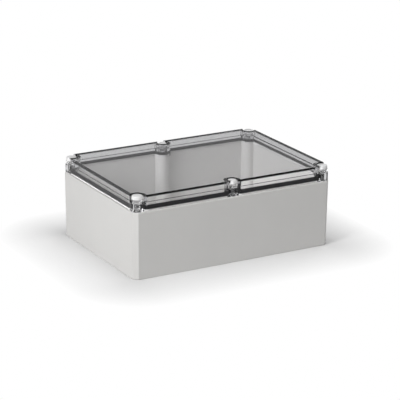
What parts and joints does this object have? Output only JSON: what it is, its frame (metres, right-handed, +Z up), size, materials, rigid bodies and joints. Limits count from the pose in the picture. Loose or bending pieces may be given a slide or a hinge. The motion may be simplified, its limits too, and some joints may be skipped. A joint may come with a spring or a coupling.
{
  "type": "electrical enclosure",
  "caption": "Grey moulded electrical enclosure with a flat clear lid, a black seal in its groove and clear slotted lid screws at the corners and long sides.",
  "frame": {"origin": "middle of the base's underside", "axes": "+X along the length to the right, +Y along the width to the back, +Z up towards the lid"},
  "size_m": [0.25, 0.175, 0.095],
  "materials": {
    "base_plastic": "light grey, fine spark-eroded texture",
    "lid_clear": "clear with a light smoke tint, polished",
    "seal_rubber": "black, soft, slightly matt",
    "screw_clear": "clear and polished, with a frosted, matt white top to the cap"
  },
  "bodies": {
    "base": {"base": "base_plastic"},
    "lid": {"lid": "lid_clear", "gasket": "seal_rubber"},
    "screw_front_left": {"lid_screw_front_left": "screw_clear"},
    "screw_front_middle": {"lid_screw_front_middle": "screw_clear"},
    "screw_front_right": {"lid_screw_front_right": "screw_clear"},
    "screw_back_left": {"lid_screw_back_left": "screw_clear"},
    "screw_back_middle": {"lid_screw_back_middle": "screw_clear"},
    "screw_back_right": {"lid_screw_back_right": "screw_clear"}
  },
  "joints": [
    {"name": "lid_lift", "type": "slide", "parent": "base", "child": "lid", "axis": [0, 0, 1], "range_m": [0, 0.06]},
    {"name": "screw_front_left_turn", "type": "hinge", "parent": "lid", "child": "screw_front_left", "pos_m": [-0.1175, -0.08, 0.086], "axis": [0, 0, 1], "range_deg": [0, 90]},
    {"name": "screw_front_middle_turn", "type": "hinge", "parent": "lid", "child": "screw_front_middle", "pos_m": [0, -0.08, 0.086], "axis": [0, 0, 1], "range_deg": [0, 90]},
    {"name": "screw_front_right_turn", "type": "hinge", "parent": "lid", "child": "screw_front_right", "pos_m": [0.1175, -0.08, 0.086], "axis": [0, 0, 1], "range_deg": [0, 90]},
    {"name": "screw_back_left_turn", "type": "hinge", "parent": "lid", "child": "screw_back_left", "pos_m": [-0.1175, 0.08, 0.086], "axis": [0, 0, 1], "range_deg": [0, 90]},
    {"name": "screw_back_middle_turn", "type": "hinge", "parent": "lid", "child": "screw_back_middle", "pos_m": [0, 0.08, 0.086], "axis": [0, 0, 1], "range_deg": [0, 90]},
    {"name": "screw_back_right_turn", "type": "hinge", "parent": "lid", "child": "screw_back_right", "pos_m": [0.1175, 0.08, 0.086], "axis": [0, 0, 1], "range_deg": [0, 90]}
  ]
}
